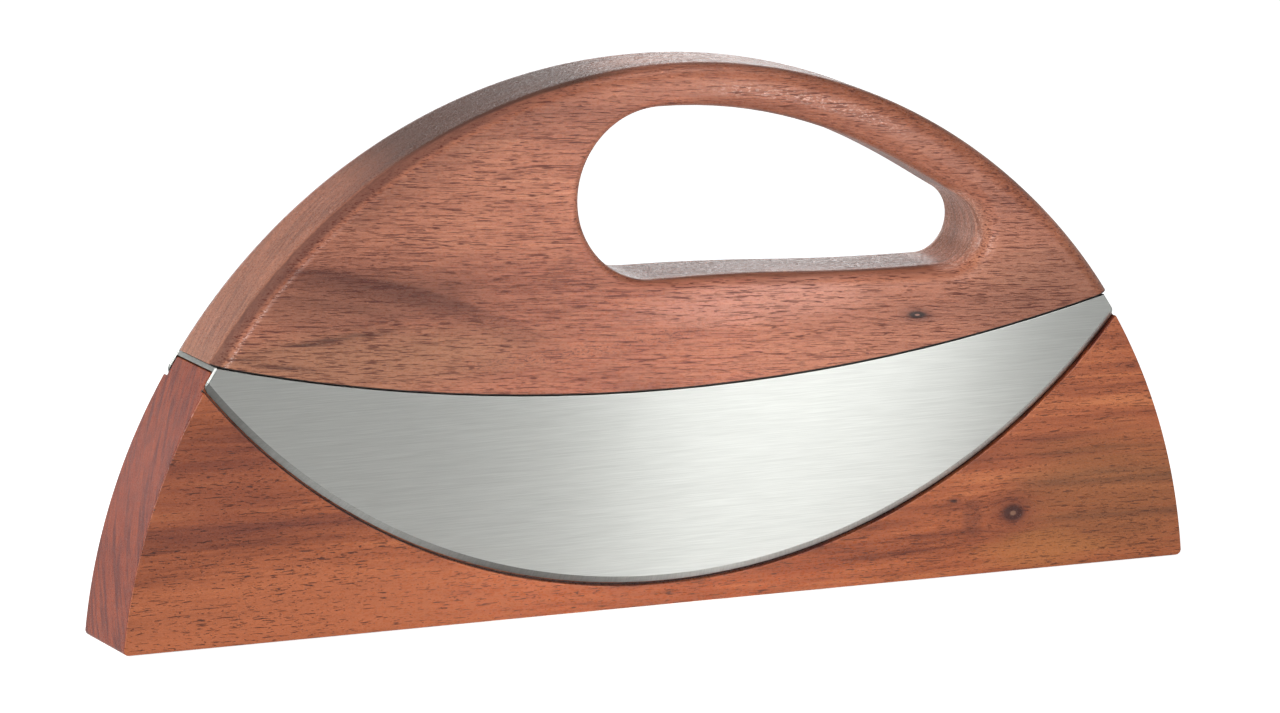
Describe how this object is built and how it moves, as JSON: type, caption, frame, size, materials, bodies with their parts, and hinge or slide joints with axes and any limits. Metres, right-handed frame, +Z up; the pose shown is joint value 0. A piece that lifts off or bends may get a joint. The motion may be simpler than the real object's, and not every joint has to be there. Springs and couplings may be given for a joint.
{
  "type": "double mezzaluna",
  "caption": "Rocking herb knife with twin crescent blades under a round-topped wooden handle with a finger opening, parked astride a wooden stand that covers the cutting edges.",
  "frame": {"origin": "middle of the stand's underside", "axes": "+X along the blades, +Y through the thickness to the back, +Z up"},
  "size_m": [0.2494, 0.021, 0.116],
  "materials": {
    "handle_wood": "oiled hardwood, fine dark pores along the length",
    "stand_wood": "oiled hardwood, darker streaks and a knot",
    "blade_steel": "brushed lengthwise, ground bevel along the cutting edge",
    "screw_steel": "plain bright steel"
  },
  "bodies": {
    "stand": {"stand": "stand_wood"},
    "mezzaluna": {"handle": "handle_wood", "front_blade": "blade_steel", "rear_blade": "blade_steel", "blade_bridge": "blade_steel", "left_screw": "screw_steel", "middle_screw": "screw_steel", "right_screw": "screw_steel"}
  },
  "joints": [
    {"name": "lift_off", "type": "slide", "parent": "stand", "child": "mezzaluna", "axis": [0, 0, 1], "range_m": [0, 0.06]}
  ]
}
